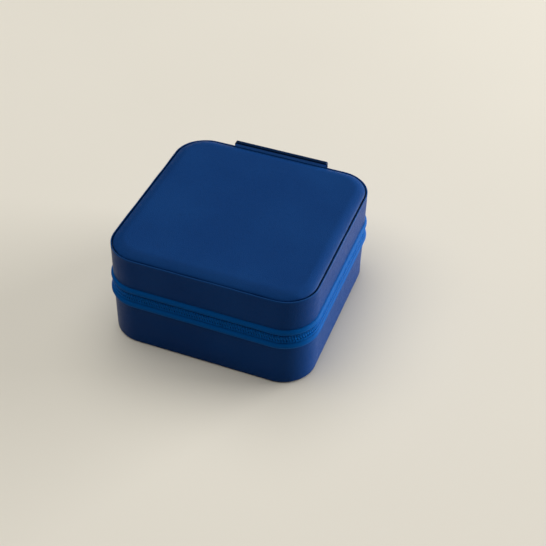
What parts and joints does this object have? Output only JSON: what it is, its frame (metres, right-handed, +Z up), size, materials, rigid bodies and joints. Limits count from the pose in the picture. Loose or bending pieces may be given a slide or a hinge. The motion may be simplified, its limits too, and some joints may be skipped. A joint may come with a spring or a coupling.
{
  "type": "jewelry case",
  "caption": "Square leather travel jewelry case with rounded corners, a zip round the middle, a back hinge strap and a velvet-lined inside with ring rolls, dividers, hooks and a pocket.",
  "frame": {"origin": "centre of the flat underside, where the case stands", "axes": "+Z up, -Y to the front, +Y to the hinge strap, -X to the side with the zip slider"},
  "size_m": [0.1066, 0.1038, 0.0532],
  "materials": {
    "leather": "fine pebble grain, satin",
    "card": "matte, dyed through",
    "velvet": "short velvet pile",
    "ring_foam": "velvet over foam",
    "zip_tape": "woven, satin",
    "zip_coil": "nylon coil, satin",
    "foam": "matte",
    "pouch_fabric": "gathered velvet",
    "metal": "polished nickel"
  },
  "bodies": {
    "base": {"base_bottom_leather": "leather", "base_bottom_board": "card", "base_wall_frame": "card", "base_side_leather": "leather", "base_lining_floor": "velvet", "base_lining_neck": "velvet", "ring_partition": "velvet", "zip_tape_base": "zip_tape", "zip_coil_base": "zip_coil", "zip_stops_base": "metal", "hinge_strap_base": "leather", "ring_roll_1": "ring_foam", "ring_roll_2": "ring_foam", "ring_roll_3": "ring_foam", "ring_roll_4": "ring_foam", "ring_roll_5": "ring_foam", "ring_roll_6": "ring_foam", "ring_roll_7": "ring_foam"},
    "lid": {"lid_wall_frame": "card", "lid_top_board": "card", "lid_side_leather": "leather", "lid_foam_pad": "foam", "lid_top_leather": "leather", "lid_lining_panel": "velvet", "lid_lining_wall": "velvet", "zip_tape_lid": "zip_tape", "zip_coil_lid": "zip_coil", "zip_stops_lid": "metal", "hinge_strap_lid": "leather", "hook_strip": "leather", "pouch": "pouch_fabric", "pouch_elastic": "pouch_fabric", "necklace_hook_1": "metal", "necklace_hook_2": "metal", "necklace_hook_3": "metal", "necklace_hook_4": "metal"},
    "slider": {"slider_body": "metal", "slider_crown": "metal"},
    "link": {"pull_link": "metal"},
    "tab": {"pull_tab": "metal"},
    "front_divider": {"divider_front": "velvet"},
    "back_divider": {"divider_back": "velvet"}
  },
  "joints": [
    {"name": "lid_hinge", "type": "hinge", "parent": "base", "child": "lid", "pos_m": [0, 0.0512, 0.0287], "axis": [-1, 0, 0], "range_deg": [0, 105]},
    {"name": "zip_slide", "type": "slide", "parent": "base", "child": "slider", "axis": [0, -1, 0], "range_m": [0, 0.054]},
    {"name": "link_swing", "type": "hinge", "parent": "slider", "child": "link", "pos_m": [-0.0537, 0.027, 0.0287], "axis": [0, 1, 0], "range_deg": [0, 100]},
    {"name": "tab_swing", "type": "hinge", "parent": "link", "child": "tab", "pos_m": [-0.0537, 0.027, 0.0242], "axis": [0, 1, 0], "range_deg": [0, 80]},
    {"name": "front_divider_lift", "type": "slide", "parent": "base", "child": "front_divider", "axis": [0, 0, 1], "range_m": [0, 0.007]},
    {"name": "back_divider_lift", "type": "slide", "parent": "base", "child": "back_divider", "axis": [0, 0, 1], "range_m": [0, 0.007]}
  ]
}
